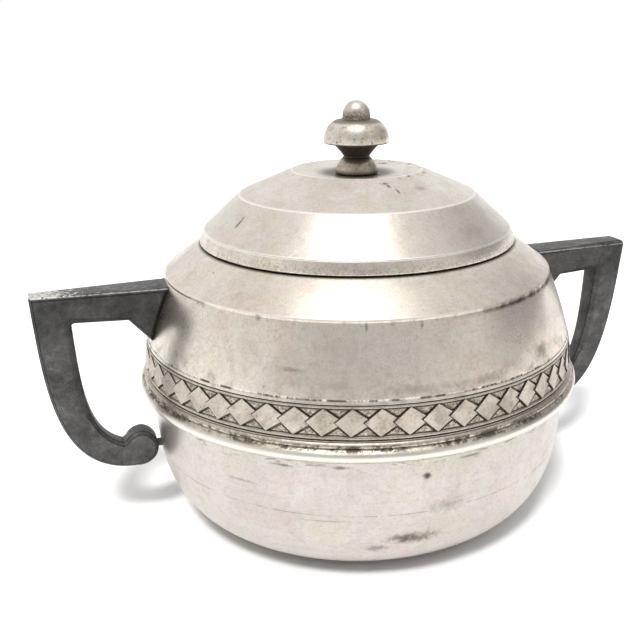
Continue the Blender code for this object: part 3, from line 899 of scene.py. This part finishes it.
class SUGARBOWL_OT_lid(PieceOperator, bpy.types.Operator):
    """Spins the lid: shell, rim and guide ring"""

    bl_idname = "sugar_bowl.lid"
    bl_label = "Lid"

    STUD = 1.5
    METAL = 1.1
    RIM_METAL = 1.2
    DISH_STEPS = (0.12, 0.3, 0.45, 0.6, 0.72, 0.84, 0.93)
    STAINS = (
        (-73.0, 87.6, 0.5, 1.2, 0.7), (3.0, 96.4, 0.6, 0.3, 0.7), (6.5, 95.4, 0.35, 0.45, 0.6),
        (1.5, 96.9, 1.2, 0.25, 0.6), (24.0, 95.3, 1.8, 0.5, 0.25), (30.0, 86.0, 4.0, 1.2, 0.12),
    )

    def execute(self, context):
        sizes, lid = context.scene.sugar_bowl_sizes, context.scene.sugar_bowl_lid
        looks = context.scene.sugar_bowl_finishes
        rim_r, rim_z = lid.rim_radius / MM, lid.rim_top / MM
        facet_r, facet_z = lid.facet_radius / MM, lid.facet_height / MM
        crown_r, crown_z, dish = lid.crown_radius / MM, lid.crown_height / MM, lid.dish / MM
        metal_z = self.METAL
        hollow = [(crown_r * s, crown_z - dish * (1 - s * s)) for s in self.DISH_STEPS]
        outside = [(self.STUD, crown_z - dish), *hollow, (crown_r, crown_z, 0.35)]
        outside += [(facet_r, facet_z, 0.45), (rim_r, rim_z + 0.02, 0.25)]
        inside = [(rim_r - self.RIM_METAL, rim_z + 0.02, 0.1), (facet_r - 0.7, facet_z - metal_z, 0.4)]
        inside += [(crown_r - 0.2, crown_z - metal_z, 0.4)]
        inside += [(r, z - metal_z) for r, z in reversed(hollow[:-1])]
        inside += [(self.STUD, crown_z - dish - metal_z)]
        shell = turn(outside + inside)
        metal = silver_finish(
            "lid_silver", looks.lid, looks.silver_shade, self.STAINS, lid_grooves,
            rough=0.27, age=0.9, worn=lid_worn_and_highlight,
        )
        settle(shell, "lid_dome", "lid", [metal], SILVER_SLOT, "lid_shell")

        seat_z, seat_r = sizes.seat_height / MM, sizes.seat_radius / MM
        rim = turn([
            (40.1, seat_z + 0.3, 0.1), (seat_r, seat_z + 0.3, 0.2), (seat_r + 0.02, seat_z + 0.75),
            (rim_r, rim_z, 0.12),
            (rim_r - self.RIM_METAL, rim_z, 0.1), (42.3, seat_z + 1.3, 0.2), (40.1, seat_z + 1.3, 0.1),
        ])
        rim_metal = silver_finish(
            "lid_rim_silver", looks.silver, looks.silver_shade, grooves=rim_grooves, age=1.3, worn=rim_worn_and_highlight
        )
        settle(rim, "lid_rim_band", "lid", [rim_metal], SILVER_SLOT, "lid_rim")

        low = lid.bezel_bottom / MM
        bezel = turn([(39.0, low, 0.15), (39.8, low, 0.3), (39.8, 82.0, 0.1), (39.0, 82.0, 0.1)])
        settle(bezel, "lid_guide_ring", "lid_seat", [rim_metal], SILVER_SLOT, "lid_bezel")
        return {"FINISHED"}


class SUGARBOWL_OT_finial(PieceOperator, bpy.types.Operator):
    """Spins the finial: spool and cap with its ball"""

    bl_idname = "sugar_bowl.finial"
    bl_label = "Finial"

    def execute(self, context):
        lid, looks = context.scene.sugar_bowl_lid, context.scene.sugar_bowl_finishes
        stem = [
            (1.5, 96.9), (5.9, 96.9, 0.15), (5.85, 97.4), (5.7, 98.0), (5.45, 98.7), (5.1, 99.4),
            (4.65, 100.1),
        ]
        stem += [(4.15, 100.7), (3.75, 101.1), (3.5, 101.35, 0.15), (4.0, 102.05)]
        stem += [(4.6, 102.8), (5.35, 103.65), (6.1, 104.4, 0.12), (6.2, 104.65, 0.08), (1.5, 104.65)]
        spool = turn(stem, steps=128)
        metal = silver_finish("stem_silver", looks.silver_shade, looks.stain, grooves=stem_grooves, age=1.4)
        settle(spool, "finial_spool", "lid", [metal], STEM_SLOT, "finial_stem")

        knob_r, ball_r, top = lid.knob_radius / MM, lid.ball_radius / MM, lid.finial_top / MM
        cap = [(1.5, 104.95), (knob_r - 0.25, 104.95, 0.12), (knob_r, 105.25, 0.12), (knob_r, 105.6)]
        for i in range(1, 17):
            angle = math.radians(5 * i)
            cap.append((4.2 + (knob_r - 4.2) * math.cos(angle), 105.6 + 5.7 * math.sin(angle)))
        cap += [(4.35, 111.28), (3.98, 111.42), (ball_r + 0.06, 111.65), (ball_r + 0.02, 112.0)]
        cap += [
            (ball_r * math.cos(math.radians(a)), top - ball_r + ball_r * math.sin(math.radians(a)))
            for a in range(0, 86, 7)
        ]
        knob = turn([*cap, (0, top)], closed=False, steps=128)
        metal = silver_finish(
            "knob_silver", looks.silver, looks.silver_shade, grooves=knob_grooves, rough=0.33
        )
        settle(knob, "finial_cap", "lid", [metal], SILVER_SLOT, "finial_knob")
        return {"FINISHED"}


class SUGARBOWL_OT_handles(PieceOperator, bpy.types.Operator):
    """Makes the two cast bracket handles"""

    bl_idname = "sugar_bowl.handles"
    bl_label = "Handles"

    OPENING_ROOT = (64.9, 62.3)
    BAR_END = 75.2
    OPENING_OUTER = (78.3, 62.7)
    LEG_TOP = (79.2, 60.6)
    CROTCH = (69.2, 26.6)

    def drawn_in(self, sizes, x, z):
        """How far the right handle stands nearer the bowl than the left one."""
        root, bar_end = self.OPENING_ROOT[0], self.BAR_END
        outward = min(1.0, max(0.0, (x - root) / (bar_end - root)))
        return outward * (sizes.right_short / MM + sizes.right_draw_in * (sizes.top / MM - z))

    def risen(self, sizes, x, z):
        """How much higher the right handle's top stands, growing towards its outer corner."""
        outward = max(0.0, x - self.OPENING_ROOT[0]) / (sizes.outer / MM - self.OPENING_ROOT[0])
        return sizes.right_rise / MM * outward if z > self.OPENING_OUTER[1] + 4.0 else 0.0

    def half_thickness(self, sizes, x, z):
        towards_bowl, down = sizes.outer / MM - x, sizes.top / MM - z
        return sizes.half_thick / MM + sizes.flare * towards_bowl - sizes.thinning * down

    def outline(self, sizes, side):
        """One handle's outline in millimetres: distances from the bowl's middle, and heights."""
        top, outer, root_low = sizes.top / MM, sizes.outer / MM, sizes.root_bottom / MM
        root = []
        for i in range(9):
            z = top + (root_low - top) * i / 8
            half = self.half_thickness(sizes, wall_radius(z), z)
            root.append((math.sqrt(wall_radius(z) ** 2 - half**2) + 0.02, z))
        opening = [self.OPENING_ROOT, self.OPENING_OUTER]
        opening += bezier(self.OPENING_OUTER, (78.9, 62.7), (79.25, 62.4), (79.25, 61.7), 4) + [self.LEG_TOP]
        inside = bezier(self.LEG_TOP, (78.6, 41.0), (77.6, 30.4), self.CROTCH, 26)
        scroll = []
        for i in range(1, 31):
            angle = math.radians(35 + 235 * i / 30)
            reach = sizes.scroll_radius / MM * min(1.0, 0.75 + 0.25 * i / 9)
            across, up = reach * math.cos(angle), reach * math.sin(angle)
            scroll.append((sizes.scroll_x / MM + across, sizes.scroll_z / MM + up))
        outside = bezier((67.0, 19.0), (84.0, 19.4), (87.2, 38.0), (88.3, 57.5), 30)
        corner = [(88.65, 64.0), (outer, top)]
        if side > 0:
            ease = sizes.right_round / MM
            start = (outer - 0.05 * ease, top - ease)
            corner = [
                start,
                *bezier(start, (outer, top - 0.4 * ease), (outer - 0.4 * ease, top), (outer - ease, top), 5),
            ]
        points = opening + inside + scroll + outside + corner
        if side > 0:
            points = [(x - self.drawn_in(sizes, x, z), z + self.risen(sizes, x, z)) for x, z in points]
        return root + points

    def widen_chamfer(self, obj, low, high, inward, outward, step):
        """Moves the corners of both flat faces that lie in a range of reach and height, in millimetres."""

        def chosen(vertex):
            on_face = any(abs(face.normal.y) > 0.97 for face in vertex.link_faces)
            reach, height = abs(vertex.co.x) / MM, vertex.co.z / MM
            return on_face and low < height < high and inward < reach < outward

        if not pick(obj, "VERT", chosen):
            raise RuntimeError("no corners on the handle's face to move")
        bpy.ops.transform.translate(value=step)

    def handle(self, sizes, side):
        points = self.outline(sizes, side)
        chamfer, wider = sizes.chamfer, sizes.inner_chamfer - sizes.chamfer
        placed = [(side * x * MM, chamfer - self.half_thickness(sizes, x, z) * MM, z * MM) for x, z in points]
        start_line([*placed, placed[0]])
        bpy.ops.mesh.edge_face_add()
        bpy.ops.mesh.extrude_region_move()
        bpy.ops.transform.resize(value=(1, -1, 1), center_override=(0, 0, 0))
        bpy.ops.mesh.select_all(action="SELECT")
        bpy.ops.mesh.normals_make_consistent(inside=False)
        obj = bpy.context.edit_object
        pick(obj, "FACE", lambda face: abs(face.normal.y) > 0.9)
        bpy.ops.mesh.inset(thickness=chamfer, depth=chamfer)
        self.widen_chamfer(obj, 62.0, 65.0, 65.0, 81.5, (0, 0, wider))
        self.widen_chamfer(obj, 36.0, 65.0, 74.0, 80.2, (side * wider, 0, 0))
        bpy.ops.object.mode_set(mode="OBJECT")
        return obj

    def execute(self, context):
        sizes = context.scene.sugar_bowl_handles
        # Copies of one metal: the chamfers painted 18% darker and the thin edge bevels 70% darker, painted shade
        # on the chamfers and painted dark lines along the edges
        metals = [
            cast_finish("dark_cast_metal"), cast_finish("dark_cast_edges", 0.82),
            cast_finish("dark_cast_creases", 0.30),
        ]
        for label, side in (("left", -1), ("right", 1)):
            obj = self.handle(sizes, side)
            for metal in metals:
                obj.data.materials.append(metal)
            for face in obj.data.polygons:
                face.material_index = 1 if 0.3 < abs(face.normal.y) < 0.95 else 0
            apply_modifier(
                obj, "worn_edge_and_highlight", "BEVEL", width=0.16 * MM, segments=2, limit_method="ANGLE",
                angle_limit=math.radians(30), material=2,
            )
            settle(obj, f"bracket_{label}", "bowl", metals, HANDLE_SLOT, f"handle_{label}", smooth=35.0)
        return {"FINISHED"}


class SUGARBOWL_OT_fixings(PieceOperator, bpy.types.Operator):
    """Gives the screws, washers, stud and nut their steel, and the rivets dark cast metal"""

    bl_idname = "sugar_bowl.fixings"
    bl_label = "Fixings"

    def execute(self, context):
        steel, dark = steel_finish("fixing_steel"), cast_finish("dark_rivet", 0.8)
        for name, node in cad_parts.items():
            if node.hide_render:
                continue
            node.data.materials.clear()
            node.data.materials.append(dark if name.endswith("rivet") else steel)
        return {"FINISHED"}


class SUGARBOWL_OT_stage(PieceOperator, bpy.types.Operator):
    """Sets the pale floor, soft lights, surroundings and camera"""

    bl_idname = "sugar_bowl.stage"
    bl_label = "Stage"

    HANDLE_TURN = math.radians(19.0)
    FLOOR_SIZE = 8.0
    FLOOR_LIGHT = 0.72
    ROOM_LIGHT = 0.84
    # azimuth, elevation, wide, narrow, strength
    ROOM_LOBES = (
        (180, 5, 75, 25, 0.18),
        (0, 20, 62, 10, -0.26),
        (112, 8, 46, 12, -0.50),
        (-80, 20, 60, 15, 0.14),
        (-10, 76, 32, 8, 0.85),
    )
    CEILING_PLACE = (-0.045, -0.37, 1.27)
    CEILING_TARGET = (0, 0, 0.05)
    CEILING_SIZE = (0.58, 0.40)
    CEILING_POWER = 3.2
    FILL_WAY = (0.20, 1.0, -1.40)
    FILL_ANGLE = math.radians(10.0)
    FILL_STRENGTH = 2.6
    CAMERA_PLACE = (0, -0.24137, 0.1350)
    CAMERA_PITCH = math.radians(18.56)
    CAMERA_ROLL = -0.006
    CAMERA_LENS = 48.95
    CAMERA_SHIFT = (-0.0587, -0.0016)

    def lobe(self, nodes, way, azimuth, elevation, wide, narrow):
        """1 within narrow degrees of a direction, 0 beyond wide. Azimuth 0 is the front, 90 the right."""
        turn_by, lift = math.radians(azimuth) - self.HANDLE_TURN, math.radians(elevation)
        toward = (math.sin(turn_by) * math.cos(lift), -math.cos(turn_by) * math.cos(lift), math.sin(lift))
        facing = nodes.add("ShaderNodeVectorMath", {"operation": "DOT_PRODUCT"}, {0: way, 1: toward}, 1)
        return facing.ramped(math.cos(math.radians(wide)), math.cos(math.radians(narrow)))

    def surroundings(self, context):
        """A pale room, darker towards the front and the right, white behind, with a softly lit ceiling."""
        world = bpy.data.worlds.new("studio")
        context.scene.world = world
        world.use_nodes = True
        nodes = Nodes(world.node_tree)
        background = world.node_tree.nodes["Background"]
        way = nodes.add("ShaderNodeTexCoord", output=0)
        light = self.ROOM_LIGHT
        for azimuth, elevation, wide, narrow, strength in self.ROOM_LOBES:
            light = light + self.lobe(nodes, way, azimuth, elevation, wide, narrow) * strength
        spread = nodes.add("ShaderNodeLightPath", output=2)
        light = light + spread * (self.FLOOR_LIGHT - light)
        seen = nodes.add("ShaderNodeLightPath")
        light = light + seen * (1.0 - light)
        nodes.feed(background.inputs["Color"], nodes.joined(light, light, light))
        background.inputs["Strength"].default_value = 1.0

    def front_fill(self, turned):
        """A sun from the front for matt surfaces only, which lights the table under the bowl's round."""
        data = bpy.data.lights.new("front_fill", "SUN")
        data.energy = self.FILL_STRENGTH
        data.angle = self.FILL_ANGLE
        obj = bpy.data.objects.new("front_fill", data)
        bpy.context.scene.collection.objects.link(obj)
        obj.rotation_euler = (turned @ Vector(self.FILL_WAY)).to_track_quat("-Z", "Y").to_euler()
        obj.visible_glossy = False

    def ceiling_box(self, turned):
        """A wide soft box overhead, a little in front of the bowl."""
        data = bpy.data.lights.new("ceiling_box", "AREA")
        data.shape = "RECTANGLE"
        data.size, data.size_y = self.CEILING_SIZE
        data.energy = self.CEILING_POWER
        obj = bpy.data.objects.new("ceiling_box", data)
        bpy.context.scene.collection.objects.link(obj)
        obj.location = turned @ Vector(self.CEILING_PLACE)
        aim = Vector(self.CEILING_TARGET) - obj.location
        obj.rotation_euler = aim.to_track_quat("-Z", "Y").to_euler()

    def camera(self, context, turned):
        data = bpy.data.cameras.new("camera")
        camera = bpy.data.objects.new("camera", data)
        context.scene.collection.objects.link(camera)
        data.sensor_width = 36.0
        data.lens = self.CAMERA_LENS
        data.shift_x, data.shift_y = self.CAMERA_SHIFT
        data.clip_start = 0.01
        lift = Matrix.Rotation(math.pi / 2 - self.CAMERA_PITCH, 4, "X")
        aim = turned @ lift @ Matrix.Rotation(self.CAMERA_ROLL, 4, "Z")
        camera.matrix_world = Matrix.Translation(turned @ Vector(self.CAMERA_PLACE)) @ aim
        context.scene.camera = camera

    def execute(self, context):
        looks = context.scene.sugar_bowl_finishes
        bpy.ops.object.select_all(action="DESELECT")
        bpy.ops.mesh.primitive_plane_add(size=self.FLOOR_SIZE, location=(0, 0, 0))
        floor = context.object
        floor.name = "floor"
        table = bpy.data.materials.new("pale_table")
        table.use_nodes = True
        paint = table.node_tree.nodes["Principled BSDF"]
        paint.inputs["Base Color"].default_value = (*looks.floor, 1.0)
        paint.inputs["Roughness"].default_value = 0.7
        floor.data.materials.append(table)
        self.surroundings(context)
        turned = Matrix.Rotation(-self.HANDLE_TURN, 4, "Z")
        self.front_fill(turned)
        self.ceiling_box(turned)

        self.camera(context, turned)
        context.scene.view_settings.view_transform = "Standard"
        return {"FINISHED"}


PIECES = (
    SUGARBOWL_OT_lower_bowl,
    SUGARBOWL_OT_upper_shell,
    SUGARBOWL_OT_girdle_bead,
    SUGARBOWL_OT_lattice_band,
    SUGARBOWL_OT_mouth_and_foot,
    SUGARBOWL_OT_lid,
    SUGARBOWL_OT_finial,
    SUGARBOWL_OT_handles,
    SUGARBOWL_OT_fixings,
    SUGARBOWL_OT_stage,
)


class SUGARBOWL_PT_panel(bpy.types.Panel):
    """Lists the pieces of the bowl with their sizes and finishes"""

    bl_idname = "SUGARBOWL_PT_panel"
    bl_label = "Sugar Bowl"
    bl_space_type = "VIEW_3D"
    bl_region_type = "UI"
    bl_category = "Sugar Bowl"

    def draw(self, context):
        layout = self.layout
        for piece in PIECES:
            layout.operator(piece.bl_idname)
        for group in (
            context.scene.sugar_bowl_sizes,
            context.scene.sugar_bowl_lid,
            context.scene.sugar_bowl_handles,
            context.scene.sugar_bowl_finishes,
        ):
            box = layout.box()
            for name in group.__annotations__:
                box.prop(group, name)


GROUPS = {
    "sugar_bowl_sizes": SugarBowlSizes,
    "sugar_bowl_lid": SugarBowlLidSizes,
    "sugar_bowl_handles": SugarBowlHandleSizes,
    "sugar_bowl_finishes": SugarBowlFinishes,
}


def register():
    for cls in (*GROUPS.values(), *PIECES, SUGARBOWL_PT_panel):
        bpy.utils.register_class(cls)
    for name, cls in GROUPS.items():
        setattr(bpy.types.Scene, name, PointerProperty(type=cls))


def unregister():
    for name in GROUPS:
        delattr(bpy.types.Scene, name)
    for cls in reversed((*GROUPS.values(), *PIECES, SUGARBOWL_PT_panel)):
        bpy.utils.unregister_class(cls)


def main():
    register()
    bpy.ops.sugar_bowl.lower_bowl()
    bpy.ops.sugar_bowl.upper_shell()
    bpy.ops.sugar_bowl.girdle_bead()
    bpy.ops.sugar_bowl.lattice_band()
    bpy.ops.sugar_bowl.mouth_and_foot()
    bpy.ops.sugar_bowl.lid()
    bpy.ops.sugar_bowl.finial()
    bpy.ops.sugar_bowl.handles()
    bpy.ops.sugar_bowl.fixings()
    bpy.ops.sugar_bowl.stage()


if __name__ == "__main__":
    main()
